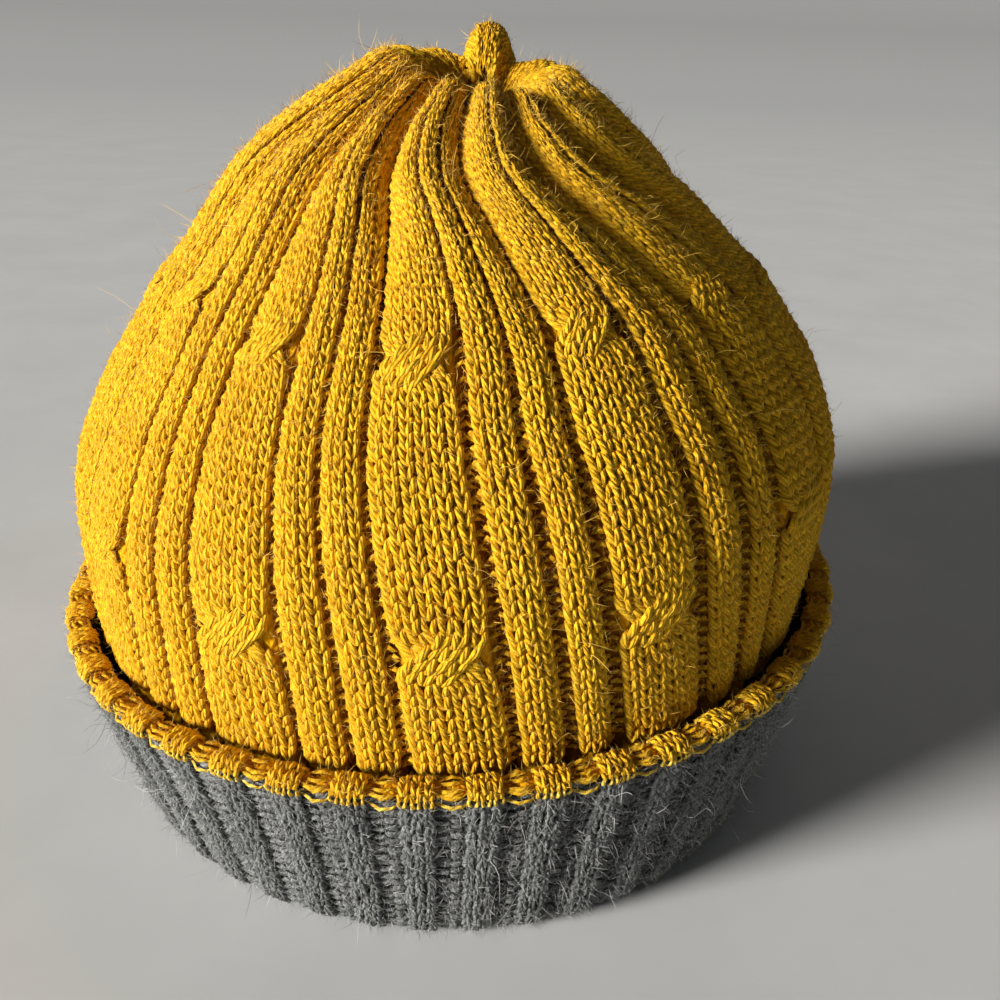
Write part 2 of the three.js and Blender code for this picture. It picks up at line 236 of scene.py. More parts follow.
def crown(wale, arc):
    """Points of the crown's outside. Wale counts all the way round from the front cable, and
    arc is the way up from under the rolled edge."""
    repeat = np.floor(wale / WALES)
    within = wale - repeat * WALES
    row = {key: smooth(ARC, values, arc) for key, values in ROW.items() if key != "height"}
    height_share = smooth(ARC, ROW["height"], arc)
    climb = smooth(ARC, CLIMB, arc)
    middle = FIRST_CABLE + (repeat + within / WALES) * PITCH
    turns = repeat + across(within, middle, arc)
    azimuth = FIRST_CABLE + turns * PITCH
    inset = (RIB_DEPTH * row["ribs"] * (1 - crown_relief(wale))
             + FOLD_DEPTH * row["folds"] * crease(turns))
    radius = (CROWN_RADIUS * row["radius"] - inset
              + SHOULDER * row["bulge"] * fold_value("bulge", turns))
    base = ROLL_TOP + rise(azimuth)
    height = (base + (HAT_HEIGHT - base) * height_share
              - row["drop"] * (CREST_DROP * fold_value("drop", turns) + PLEAT_SAG * crease(turns)))
    around = np.radians(swing(azimuth, climb))
    return np.stack([radius * np.sin(around) + LEAN_RIGHT * row["right"],
                     -radius * np.cos(around) - LEAN_FORWARD * row["ahead"], height], -1)


def unit(vectors):
    return vectors / np.maximum(np.linalg.norm(vectors, axis=-1, keepdims=True), 1e-9)


def outward(surface, wale, along):
    """Place, outward normal and wale width of a surface at each point."""
    step_wale = 0.12
    step_along = 0.5
    here = surface(wale, along)
    side = surface(wale + step_wale, along) - surface(wale - step_wale, along)
    up = surface(wale, along + step_along) - surface(wale, along - step_along)
    normal = unit(np.cross(side, up))
    return here, normal, np.linalg.norm(side, axis=-1) / (2 * step_wale)


def cable_path(repeat, strand, offset, row):
    """Wale place and lift of a cable's strand, which crosses its neighbour twice. A strand
    spreads out where it slants, so that its stitches stay beside each other."""
    left = strand < 3
    middle = np.where(left, 1.5, 4.5) + 0 * row
    spread = 1 + 0 * row
    pull = lift = 0 * row
    for crossing in range(CROSSINGS.shape[1]):
        after = row - CROSSINGS[repeat, crossing]
        front = (after - FRONT_STRAND[0]) / (FRONT_STRAND[1] - FRONT_STRAND[0])
        back = (after - BACK_STRAND[0]) / (BACK_STRAND[1] - BACK_STRAND[0])
        middle = middle + np.where(left, 3 * ease(front), -3 * ease(back))
        spread = spread + STRAND_SPREAD * bell(np.where(left, front, back))
        lift = lift + np.where(left, FRONT_LIFT * bell(front), -BACK_DROP * bell(back))
        pull = pull + EDGE_PULL * np.maximum(0, 1 - np.abs(after) / PULL_REACH)
        left = ~left
    place = middle + (strand % 3 + offset - 1.5) * spread
    return place * (1 - pull), lift, spread


class Bag:
    """Triangles of many yarns or fibres, gathered for one mesh."""

    def __init__(self):
        self.points = []
        self.faces = []
        self.marks = []
        self.count = 0

    def add(self, points, faces, marks):
        self.points.append(points)
        self.faces.append(faces + self.count)
        self.marks.append(marks)
        self.count += len(points)

    def mesh(self, name):
        return make_mesh(name, np.concatenate(self.points), np.concatenate(self.faces),
                         np.concatenate(self.marks))


def make_mesh(name, points, faces, marks):
    """A linked object. marks are kept with the points, for the materials."""
    mesh = bpy.data.meshes.new(name)
    mesh.vertices.add(len(points))
    mesh.vertices.foreach_set("co", (points * MM).astype(np.float32).ravel())
    mesh.loops.add(faces.size)
    mesh.loops.foreach_set("vertex_index", faces.astype(np.int32).ravel())
    mesh.polygons.add(len(faces))
    starts = np.arange(0, faces.size, faces.shape[1], dtype=np.int32)
    mesh.polygons.foreach_set("loop_start", starts)
    layer = mesh.attributes.new("yarn", "FLOAT_VECTOR", "POINT")
    layer.data.foreach_set("vector", marks.astype(np.float32).ravel())
    mesh.update(calc_edges=True)
    mesh.shade_smooth()
    piece = bpy.data.objects.new(name, mesh)
    bpy.context.scene.collection.objects.link(piece)
    return piece


# Angles round a yarn, from its left over its top to its right. Its underside stays open.
ROPE_ANGLES = np.radians([200, 130, 50, -20])
THREAD_ANGLES = np.radians([200, 90, -20])


def yarns(bag, centres, normals, wide, deep, angles, seeds):
    """Yarns through rows of centres, pointed at both ends. The normals face out of the cloth,
    and wide and deep are the half sizes across and through it at each inner ring."""
    count, rings = centres.shape[:2]
    along = unit(np.gradient(centres, axis=1))
    beside = unit(np.cross(along, normals))
    out = np.cross(beside, along)
    inner = rings - 2
    edges = len(angles)
    cosines, sines = np.cos(angles), np.sin(angles)
    ring_points = (centres[:, 1:-1, None]
                   + beside[:, 1:-1, None] * (wide[..., None] * cosines)[..., None]
                   + out[:, 1:-1, None] * (deep[..., None] * sines)[..., None])
    points = np.concatenate([centres[:, :1], ring_points.reshape(count, inner * edges, 3),
                             centres[:, -1:]], 1)
    lengths = np.linalg.norm(np.diff(centres, axis=1), axis=2)
    run = np.concatenate([np.zeros((count, 1)), np.cumsum(lengths, 1)], 1)
    marks = np.zeros(points.shape)
    marks[:, 1:-1, 0] = (wide[..., None] * cosines).reshape(count, -1)
    marks[:, 0, 1] = run[:, 0]
    marks[:, 1:-1, 1] = np.repeat(run[:, 1:-1], edges, 1)
    marks[:, -1, 1] = run[:, -1]
    marks[..., 2] = seeds[:, None]
    size = inner * edges + 2
    faces = []
    for edge in range(edges - 1):
        faces.append((0, 1 + edge, 2 + edge))
        for ring in range(inner - 1):
            low, high = 1 + ring * edges + edge, 1 + (ring + 1) * edges + edge
            faces += [(low, high + 1, low + 1), (low, high, high + 1)]
        last = 1 + (inner - 1) * edges + edge
        faces.append((last, size - 1, last + 1))
    starts = np.arange(count)[:, None, None] * size
    bag.add(points.reshape(-1, 3), (np.array(faces)[None] + starts).reshape(-1, 3),
            marks.reshape(-1, 3))


# Shape of one leg of a knit stitch: share of its run, sideways in wales, along in rows, depth
LEG_SIDE = np.array([0.05, 0.09, 0.24, 0.37, 0.42])
LEG_ALONG = np.array([-0.5, -0.16, 0.4, 0.96, 1.3])
LEG_LIFT = np.array([-0.85, 0.05, 0.5, 0.1, -0.8])
LEG_WIDE = np.array([0.165, 0.2, 0.165])
LEG_DEEP = np.array([0.55, 0.7, 0.55])
# Wale width at which a stitch has its full depth, and the shares between which it may fall or rise
FULL_WALE = 3.4
LIFT_RANGE = (0.5, 1)
DEPTH_RANGE = (0.55, 1.05)
# Scatter of the legs: sideways in wales, along in rows, in thickness and in height
SWAY, SLIP, SWELL, PUFF = 0.03, 0.06, 0.08, 0.09
# Shape of a purl bump
BUMP_SIDE = np.array([-0.62, -0.36, 0, 0.36, 0.62])
BUMP_ALONG = np.array([-0.1, 0.1, 0.28, 0.1, -0.1])
BUMP_LIFT = np.array([-0.9, -0.05, 0.35, -0.05, -0.9])
BUMP_WIDE = np.array([0.5, 0.62, 0.5])
BUMP_DEPTH = 0.9
BUMP_SWAY, BUMP_SWELL, BUMP_PUFF = 0.1, 0.1, 0.12
# Least and greatest wale width of a purl stitch, in any gutter, an open one and a shut one
ANY_GUTTER = (0, 99)
OPEN_GUTTER = (1.1, 99)
SHUT_GUTTER = (0.45, 1.1)


def knit_legs(bag, surface, path, wales, rows, row_height, start, splay=1.0, plump=1.0):
    """Both legs of every stitch. path gives the wale place and lift of each point, and splay
    is how far the legs open into a V."""
    leg_side = LEG_SIDE.mean() + (LEG_SIDE - LEG_SIDE.mean()) * splay
    wales, rows = [grid.ravel() for grid in np.meshgrid(wales, rows, indexing="ij")]
    for side in (-1, 1):
        count = len(wales)
        sway = rng.normal(0, SWAY, (count, 1))
        slip = rng.normal(0, SLIP, (count, 1))
        swell = rng.normal(1, SWELL, (count, 1)) * plump
        puff = rng.normal(0, PUFF, (count, 1))
        row = rows[:, None] + LEG_ALONG + slip
        place, lift, spread = path(wales[:, None], 0.5 + side * leg_side + sway, row)
        here, normal, width = outward(surface, place, start + row * row_height)
        lift = lift + LEG_LIFT * np.clip(width / FULL_WALE, *LIFT_RANGE) + puff - YARN_SINK
        centres = here + normal * lift[..., None]
        wide = LEG_WIDE * width[:, 1:-1] * swell * spread[:, 1:-1]
        deep = LEG_DEEP * np.clip(width[:, 1:-1] / FULL_WALE, *DEPTH_RANGE) * swell
        yarns(bag, centres, normal, wide, deep, ROPE_ANGLES, rng.random(count))


def purl_bumps(bag, surface, wales, rows, row_height, start, bend=1.0, plump=1.0, dip=1.0,
               span=1.0, widths=ANY_GUTTER):
    """A bump for each purl stitch, where its wale is neither too narrow nor too wide. bend, plump,
    dip and span scale its arch, thickness, depth and reach to both sides."""
    wales, rows = [grid.ravel() for grid in np.meshgrid(wales, rows, indexing="ij")]
    sway = rng.normal(0, BUMP_SWAY, (len(wales), 1))
    row = rows[:, None] + 0.5 * (wales[:, None] % 2) + BUMP_ALONG * bend + sway
    place = wales[:, None] + 0.5 + BUMP_SIDE * span
    here, normal, width = outward(surface, place, start + row * row_height)
    lift = BUMP_LIFT * dip + rng.normal(0, BUMP_PUFF, (len(wales), 1)) - YARN_SINK
    centres = here + normal * lift[..., None]
    wide = BUMP_WIDE * plump * rng.normal(1, BUMP_SWELL, (len(wales), 1))
    seeds = rng.random(len(wales))
    kept = (width[:, 2] > widths[0]) & (width[:, 2] <= widths[1])
    yarns(bag, centres[kept], normal[kept], wide[kept], BUMP_DEPTH * wide[kept], THREAD_ANGLES,
          seeds[kept])


def sheet_mesh(name, surface, relief, wales, arcs, sink):
    """A plain backing that follows a surface all the way round, sunk under its stitches."""
    wale, arc = np.meshgrid(wales, arcs, indexing="xy")
    here, normal, _ = outward(surface, wale, arc)
    points = here - normal * sink
    rows, columns = wale.shape
    index = np.arange(rows * columns).reshape(rows, columns)
    right = np.roll(index, -1, 1)
    quads = np.stack([index[:-1], right[:-1], right[1:], index[1:]], -1).reshape(-1, 4)
    marks = np.stack([wale, arc / ROW_HEIGHT, relief(wale)], -1)
    return make_mesh(name, points.reshape(-1, 3), quads, marks.reshape(-1, 3))


# Materials
def nodes_of(name):
    material = bpy.data.materials.new(name)
    material.use_nodes = True
    tree = material.node_tree
    tree.nodes.clear()
    return material, tree


NODE_CHOICES = ("operation", "blend_type", "data_type", "attribute_name")


def node(tree, kind, **settings):
    """A shader node with its choices and input values set."""
    made = tree.nodes.new("ShaderNode" + kind)
    for key, value in settings.items():
        if key in NODE_CHOICES:
            setattr(made, key, value)
        else:
            made.inputs[key.replace("_", " ")].default_value = value
    return made


def math_node(tree, operation, *values):
    made = node(tree, "Math", operation=operation)
    for socket, value in zip(made.inputs, values):
        if isinstance(value, (int, float)):
            socket.default_value = value
        else:
            tree.links.new(value, socket)
    return made.outputs[0]


def mix_colour(tree, blend, share, first, second):
    made = node(tree, "Mix", data_type="RGBA", blend_type=blend)
    sockets = [made.inputs[0], made.inputs[6], made.inputs[7]]
    for socket, value in zip(sockets, (share, first, second)):
        if isinstance(value, (int, float, tuple)):
            socket.default_value = value
        else:
            tree.links.new(value, socket)
    return made.outputs[2]


def marks_of(tree):
    """The three marks that each point carries."""
    mark = node(tree, "Attribute", attribute_name="yarn")
    split = node(tree, "SeparateXYZ")
    tree.links.new(mark.outputs["Vector"], split.inputs[0])
    return split.outputs


def noise_node(tree, scale, detail, roughness, vector=None):
    """Noise over the object, or over a vector of its own."""
    if vector is None:
        vector = node(tree, "TexCoord").outputs["Object"]
    made = node(tree, "TexNoise", Scale=scale, Detail=detail, Roughness=roughness)
    tree.links.new(vector, made.inputs["Vector"])
    return made.outputs[0]


def stretch(tree, value, low, high):
    """The value with low to high widened to 0 to 1."""
    made = node(tree, "MapRange", From_Min=low, From_Max=high)
    tree.links.new(value, made.inputs["Value"])
    return made.outputs[0]


def shader_node(tree, colour, roughness, specular=None, height=None, depth=0, strength=1):
    """The principled shader as the material's output, with a bump of the depth given."""
    shader = node(tree, "BsdfPrincipled", Roughness=roughness)
    if specular is not None:
        shader.inputs["Specular IOR Level"].default_value = specular
    tree.links.new(colour, shader.inputs["Base Color"])
    if height is not None:
        bump = node(tree, "Bump", Strength=strength, Distance=depth)
        tree.links.new(height, bump.inputs["Height"])
        tree.links.new(bump.outputs[0], shader.inputs["Normal"])
    tree.links.new(shader.outputs[0], node(tree, "OutputMaterial").inputs[0])
    return shader


# How the plies and fibres of a yarn run, for each millimetre across and along it
PLY_ACROSS, PLY_ALONG = 8.0, 3.0
FIBRE_ACROSS, FIBRE_ALONG = 4.5, 0.9
FIBRE_LEANS = (0.5, -0.7)


def wool(name, deep, main, bright, sheen, ply=1.0):
    """Plied woollen yarn: twisted plies with painted shade between them, fine fibres and uneven dye."""
    material, tree = nodes_of(name)
    across_yarn, along_yarn, seed = marks_of(tree)

    phase = math_node(tree, "ADD", math_node(tree, "MULTIPLY", across_yarn, PLY_ACROSS),
                      math_node(tree, "MULTIPLY", along_yarn, PLY_ALONG))
    phase = math_node(tree, "ADD", phase, math_node(tree, "MULTIPLY", seed, 6.3))
    plies = math_node(tree, "MULTIPLY_ADD", math_node(tree, "SINE", phase), 0.5, 0.5)

    def fibres_at(angle):
        """Thin streaks that lie at an angle to the yarn."""
        lean, straight_on = float(np.sin(angle)), float(np.cos(angle))
        thin = math_node(tree, "MULTIPLY_ADD", along_yarn, FIBRE_ACROSS * lean,
                         math_node(tree, "MULTIPLY", across_yarn, FIBRE_ACROSS * straight_on))
        long = math_node(tree, "MULTIPLY_ADD", across_yarn, -FIBRE_ALONG * lean,
                         math_node(tree, "MULTIPLY", along_yarn, FIBRE_ALONG * straight_on))
        layer = math_node(tree, "MULTIPLY_ADD", seed, 91.0, 10 * angle)
        streaks = node(tree, "CombineXYZ")
        for value, socket in zip((thin, long, layer), streaks.inputs):
            tree.links.new(value, socket)
        return noise_node(tree, 1.0, 2.0, 0.6, streaks.outputs[0])

    fibres = math_node(tree, "MAXIMUM", *[fibres_at(lean) for lean in FIBRE_LEANS])
    dye = noise_node(tree, 75.0, 3.0, 0.6)
    fluff = noise_node(tree, 1500.0, 2.0, 0.7)

    colour = mix_colour(tree, "MIX", stretch(tree, dye, 0.36, 0.64), deep, main)
    lights = math_node(tree, "MULTIPLY", stretch(tree, fibres, 0.5, 0.68), 0.9)
    colour = mix_colour(tree, "MIX", lights, colour, bright)
    # Painted shade between the plies, where the ply bump is low, times a random tone for each stitch:
    # shade carries both.
    painted_ply_shade = math_node(tree, "MULTIPLY_ADD", plies, 0.4 * ply, 1 - 0.32 * ply)
    each = math_node(tree, "MULTIPLY_ADD", seed, 0.26, 0.87)
    shade = math_node(tree, "MULTIPLY", painted_ply_shade, each)
    ply_shade_and_tone = node(tree, "CombineColor")
    for socket in ply_shade_and_tone.inputs:
        tree.links.new(shade, socket)
    colour = mix_colour(tree, "MULTIPLY", 1.0, colour, ply_shade_and_tone.outputs[0])

    height = math_node(tree, "MULTIPLY_ADD", plies, 0.26 * ply,
                       math_node(tree, "MULTIPLY", fibres, 0.5))
    height = math_node(tree, "MULTIPLY_ADD", fluff, 0.1, height)

    shader = shader_node(tree, colour, 0.85, 0.15, height, MM, 0.9)
    shader.inputs["Sheen Weight"].default_value = sheen
    shader.inputs["Sheen Roughness"].default_value = 0.4
    shader.inputs["Sheen Tint"].default_value = bright
    return material


def backing(name, groove, deep, main):
    """Knit seen in the gaps between stitches and inside the hat: rows of small loops with painted
    shade, darker between the loops and darkest at the bottom of its grooves."""
    material, tree = nodes_of(name)
    wale, row, relief = marks_of(tree)
    half = math_node(tree, "ABSOLUTE", math_node(
        tree, "SUBTRACT", math_node(tree, "FRACT", wale), 0.5))
    loop = math_node(tree, "ADD", row, math_node(tree, "MULTIPLY", half, -1.6))
    wave = math_node(tree, "SINE", math_node(tree, "MULTIPLY", loop, 2 * np.pi))
    valley = math_node(tree, "POWER", math_node(tree, "MULTIPLY", half, 2.0), 4.0)
    height = math_node(tree, "SUBTRACT", math_node(tree, "MULTIPLY", wave, 0.35), valley)
    noise = noise_node(tree, 420.0, 4.0, 0.7)
    # Painted shade between the loops, where their bump is low, mixed with random tone.
    loop_shade_and_tone = math_node(tree, "MULTIPLY_ADD", noise, 0.8,
                      math_node(tree, "MULTIPLY_ADD", wave, 0.22, 0.1))
    colour = mix_colour(tree, "MIX", loop_shade_and_tone, deep, main)
    # Painted shade in the grooves: where the relief is low the colour goes over to the groove colour.
    colour = mix_colour(tree, "MIX", math_node(tree, "MULTIPLY", relief, 1.6), groove, colour)
    height = math_node(tree, "MULTIPLY_ADD", noise, 0.9, height)
    shader_node(tree, colour, 0.95, 0.1, height, 0.5 * MM, 0.8)
    return material


# The floor is in metres: flat as far as FLOOR_BACK, then curved up into a wall
FLOOR_HALF, FLOOR_BACK, COVE_RADIUS, WALL_TOP = 6, 2.2, 1.2, 4
FLOOR_FADE = 0.3
COVE_STEPS = 13


def floor_material():
    """Pale felt with painted shade: darker towards the back and up the cove, which lies squarer to the
    light.
    """
    material, tree = nodes_of("pale_floor")
    soft = noise_node(tree, 14.0, 5.0, 0.6)
    colour = mix_colour(tree, "MIX", soft, (0.62, 0.63, 0.63, 1), (0.79, 0.8, 0.8, 1))
    split = node(tree, "SeparateXYZ")
    tree.links.new(node(tree, "TexCoord").outputs["Object"], split.inputs[0])
    # Painted shade: the floor darkens towards the back, and more up the cove.
    far = stretch(tree, split.outputs[1], FLOOR_FADE, FLOOR_BACK)
    colour = mix_colour(tree, "MIX", far, colour, (0.49, 0.5, 0.51, 1))
    cove_shade = stretch(tree, split.outputs[1], FLOOR_BACK, FLOOR_BACK + COVE_RADIUS / 2)
    colour = mix_colour(tree, "MIX", cove_shade, colour, (0.28, 0.285, 0.29, 1))
    shader_node(tree, colour, 0.9)
    return material


# Cuff: its surface runs from the seam down the outside, round the fold and up inside. Each row
# has the way along it, the radius and the height.
CUFF_PROFILE = np.array([
    (0, 104.6, 52), (6, 103.1, 46), (27, 97.6, 25), (46, 92.9, 5.5), (49, 91.6, 2.7),
    (51.6, 89.4, 0.6), (54.5, 86.6, 0), (59.5, 81.6, 0.1), (62, 79.8, 1.6),
    (64.5, 79.4, 4.2), (80, 80.6, 20), (92, 83.2, 32),
])
# Where the outer face passes into the fold, and over which run its ribs fade out there
FOLD_AT, FOLD_FADE = 50, 8
# Share of each rib that its knit wales take, and how far the first rib lies left of the cable
KNIT_SHARE = 0.56
RIB_SHIFT = 0.14
RIB_RELIEF_AT = [0, 0.5, 1.5, 2.5, 3, 3.3, 4, 4.7, 5]
RIB_RELIEF = [0.3, 0.85, 1, 0.85, 0.4, 0, 0.55, 0.6, 0.3]


def rib_relief(place):
    """Relief of the 3 and 2 ribbing of the cuff and the rolled edge, 1 on a rib."""
    return np.interp(place % RIB_WALES, RIB_RELIEF_AT, RIB_RELIEF)


def rib_azimuth(place):
    """The three knit wales of a rib take a little over half of its width."""
    rib = np.floor(place / RIB_WALES)
    share = np.interp(place - rib * RIB_WALES, [0, 3, RIB_WALES], [0, KNIT_SHARE, 1])
    return FIRST_CABLE + (rib + share - RIB_SHIFT) * 360 / RIB_COUNT


def cuff(place, along):
    """Place counts wales all the way round, and along is the way down from the seam."""
    azimuth = rib_azimuth(place)
    radius = np.interp(along, CUFF_PROFILE[:, 0], CUFF_PROFILE[:, 1])
    height = np.interp(along, CUFF_PROFILE[:, 0], CUFF_PROFILE[:, 2])
    outer = 1 - ease((along - FOLD_AT) / FOLD_FADE)
    groove = CUFF_RIB_DEPTH * (1 - rib_relief(place)) * outer
    lifted = height * (1 + rise(azimuth) / CUFF_HEIGHT * outer)
    return ring_point(radius - groove, azimuth, lifted)


# Rolled edge: its length round the roll, groove depth, drop towards the cuff and first and last
# angle, from the inside over the top
ROLL_LENGTH = 12.5
ROLL_GROOVE = 0.8
ROLL_DROP = 0.2
ROLL_TURN = (-25, 225)


def roll(place, along):
    """The rolled edge: along runs from the valley inside, over the top and down to the seam."""
    azimuth = rib_azimuth(place)
    turn = np.radians(ROLL_TURN[0] + (ROLL_TURN[1] - ROLL_TURN[0]) * along / ROLL_LENGTH)
    groove = ROLL_GROOVE * (1 - rib_relief(place))
    wide, tall = ROLL_WIDTH / 2 - groove, ROLL_HEIGHT / 2 - groove
    height = CUFF_HEIGHT + ROLL_HEIGHT / 2 - ROLL_DROP + rise(azimuth) + tall * np.sin(turn)
    return ring_point(RIM_RADIUS - ROLL_WIDTH / 2 - wide * np.cos(turn), azimuth, height)


# A path gives the place, lift and spread of each stitch. On the cuff it wanders in two waves: how
# far, and how much further on in the wave each row and wale is.
WANDER = ((0.1, 2.1, 2.6), (0.07, 0.9, 4.1))


def straight(wales, offset, row):
    return wales + offset, 0 * row, 1 + 0 * row


def wavy(wales, offset, row):
    """Wales that wander a little to both sides."""
    wander = sum(reach * np.sin(by_row * row + by_wale * wales) for reach, by_row, by_wale in WANDER)
    return wales + offset + wander, 0 * row, 1 + 0 * row


def crown_path(wales, offset, row):
    """Wale places on the crown, with the cables crossing."""
    repeat = np.floor(wales / WALES).astype(int)
    strand = wales - repeat * WALES
    place, lift, spread = cable_path(repeat % REPEATS, strand, offset, row)
    on_cable = strand < 6
    place = np.where(on_cable, place, strand + offset)
    return repeat * WALES + place, np.where(on_cable, lift, 0), np.where(on_cable, spread, 1)


# Colours of the yarns. The groove colours are painted shade for the backings' grooves, and the shade
# colours are the backings' darker tone, partly painted shade between their loops.
YELLOW_DEEP, YELLOW = (0.86, 0.42, 0.004, 1), (0.94, 0.51, 0.006, 1)
YELLOW_BRIGHT, YELLOW_PALE_AND_HIGHLIGHT = (1, 0.68, 0.06, 1), (1, 0.8, 0.22, 1)
YELLOW_GROOVE_SHADE, YELLOW_SHADE = (0.2, 0.055, 0.004, 1), (0.74, 0.33, 0.003, 1)
YELLOW_BACK = (0.92, 0.47, 0.006, 1)
GREY_DEEP, GREY, GREY_BRIGHT = (0.053, 0.056, 0.055, 1), (0.13, 0.136, 0.133, 1), (0.38, 0.395, 0.38, 1)
GREY_GROOVE_SHADE, GREY_SHADE, GREY_BACK = (0.02, 0.02, 0.02, 1), (0.05, 0.05, 0.049, 1), (0.14, 0.14, 0.137, 1)
YELLOW_FIBRE, GREY_FIBRE = (1, 0.62, 0.08, 1), (0.5, 0.5, 0.48, 1)


def dress(piece, material, slot, *replaced):
    """Give a piece its material and its place in the frame."""
    piece.data.materials.append(material)
    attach(piece, "root")
    if replaced:
        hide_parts(*replaced)


mustard = wool("mustard_wool", YELLOW_DEEP, YELLOW, YELLOW_BRIGHT, sheen=0.3)
# The seam's loops are one step paler than the rest of the yellow: partly thin stretched yarn, partly
# painted highlight.
mustard_tips_highlit = wool("mustard_tips_highlit", YELLOW, YELLOW_BRIGHT, YELLOW_PALE_AND_HIGHLIGHT, sheen=0.3)
mustard_back = backing("mustard_backing", YELLOW_GROOVE_SHADE, YELLOW_SHADE, YELLOW_BACK)
grey = wool("grey_wool", GREY_DEEP, GREY, GREY_BRIGHT, sheen=0.4, ply=0.5)
grey_back = backing("grey_backing", GREY_GROOVE_SHADE, GREY_SHADE, GREY_BACK)

# Crown: the wales of one repeat, the repeats of each side, and how many rows below the top its
# open and shut gutters end
KNIT_WALES = np.array([0, 1, 2, 3, 4, 5, 8, 9, 10, 13, 14, 15])
PURL_WALES = np.array([6, 7, 11, 12, 16, 17])
GUTTERS = np.array([7, 12, 17])
SECTORS = {"front": (-2, 1), "right": (1, 5), "back": (5, 8), "left": (8, 11)}
OPEN_END, SHUT_END = 4, 10
SHELL_SINK = 1.5
SHELL_LEVELS = np.linspace(2, ARC[-1] - 1, 66)
crown_rows = np.arange(CROWN_ROW_COUNT) - 1

shell_wales = np.concatenate([repeat * WALES + RELIEF_AT[:-1] for repeat in range(REPEATS)])
shell = sheet_mesh("crown_backing", crown, crown_relief, shell_wales, SHELL_LEVELS, SHELL_SINK)
dress(shell, mustard_back, "mustard_knit", "crown")
for name, (first, last) in SECTORS.items():
    bag = Bag()
    repeats = np.arange(first, last)
    knits = (repeats[:, None] * WALES + KNIT_WALES).ravel()
    purls = (repeats[:, None] * WALES + PURL_WALES).ravel()
    gutters = (repeats[:, None] * WALES + GUTTERS).ravel()
    knit_legs(bag, crown, crown_path, knits, crown_rows, ROW_HEIGHT, RIM_ARC, plump=1.05)
    purl_bumps(bag, crown, purls, crown_rows[:-OPEN_END], ROW_HEIGHT, RIM_ARC, widths=OPEN_GUTTER)
    purl_bumps(bag, crown, gutters - 0.5, crown_rows[:-SHUT_END], ROW_HEIGHT, RIM_ARC, plump=0.9,
               span=1.7, widths=SHUT_GUTTER)
    dress(bag.mesh("crown_knit_" + name), mustard, "mustard_knit")

# Wales of the cuff and the rolled edge
rib_knits = (np.arange(RIB_COUNT)[:, None] * RIB_WALES + np.arange(3)).ravel()
rib_purls = (np.arange(RIB_COUNT)[:, None] * RIB_WALES + np.array([3, 4])).ravel()
rib_middles = np.arange(RIB_COUNT) * RIB_WALES + 4
all_places = np.arange(0, RIB_COUNT * RIB_WALES, 0.5)


def cuff_outward(place, along):
    """The cuff with its places counted backwards, so that its normals face out."""
    return cuff(-place, along)


def roll_outward(place, along):
    return roll(-place, along)


def outward_relief(place):
    return rib_relief(-place)


# Cuff pieces: rows of stitches, and the backing's steps along it, close together at the fold
CUFF_ROW = 2.6
CUFF_ROW_COUNT = 22
CUFF_STEPS = np.concatenate([np.arange(0, 48, 5), np.arange(48, 66, 2), np.arange(66, 90, 6)])
RIB_SINK = 1.1
cuff_rows = np.arange(CUFF_ROW_COUNT)
backing_cuff = sheet_mesh("cuff_backing", cuff_outward, outward_relief, all_places, CUFF_STEPS, RIB_SINK)
dress(backing_cuff, grey_back, "grey_knit", "cuff")
bag = Bag()
knit_legs(bag, cuff_outward, wavy, -rib_knits - 1, cuff_rows, CUFF_ROW, 0, plump=1.08)
purl_bumps(bag, cuff_outward, -rib_purls - 1, cuff_rows, CUFF_ROW, 0, bend=0.2, plump=1.1, dip=0.35)
dress(bag.mesh("cuff_knit"), grey, "grey_knit")

# Rolled edge pieces: its knit rows run up from the seam, its purl rows down from the inside
ROLL_ROW, ROLL_ROW_COUNT = 3.2, 4
ROLL_PURL_ROW, ROLL_PURL_COUNT = 2.2, 6
ROLL_MARGIN = 0.6
roll_steps = np.linspace(0, ROLL_LENGTH, 8)
backing_roll = sheet_mesh("rolled_backing", roll_outward, outward_relief, all_places, roll_steps, RIB_SINK)
dress(backing_roll, mustard_back, "mustard_edge", "rolled_edge")
bag = Bag()
knit_legs(bag, roll_outward, straight, -rib_knits - 1, np.arange(ROLL_ROW_COUNT), -ROLL_ROW,
          ROLL_LENGTH - ROLL_MARGIN, splay=1.1, plump=1.05)
purl_bumps(bag, roll_outward, -rib_middles - 0.5, np.arange(ROLL_PURL_COUNT), ROLL_PURL_ROW,
           ROLL_MARGIN, bend=2, plump=0.8, dip=0.8, span=1.7)
dress(bag.mesh("rolled_knit"), mustard, "mustard_edge")

# Loops that join the rolled edge to the grey knit, paler than the rest of the yellow: partly the
# thin stretched yarn and partly painted highlight. Each point is a share of the way from the
# rolled edge to the cuff, its reach past the seam and its lift.
TIP_POINTS = ((0, -2.4, -0.4), (0.2, -1.3, 0.4), (0.6, -0.2, 0.4), (0.85, 0.5, 0.1), (1, 1, -0.9))
TIP_SPREAD = (0.3, 0.28, 0.23, 0.14, 0.06)
TIP_WIDE = (0.36, 0.42, 0.34)
LINK_SIDE = (-1.15, -0.7, 0, 0.7, 1.15)
LINK_DOWN = (0.1, 0.5, 0.8, 0.5, 0.1)
LINK_LIFT = (-0.9, 0.45, 0.75, 0.45, -0.9)
LINK_WIDE = (0.36, 0.42, 0.36)
# Least way down the cuff at which its outer face can be measured
CUFF_TOP = 0.5


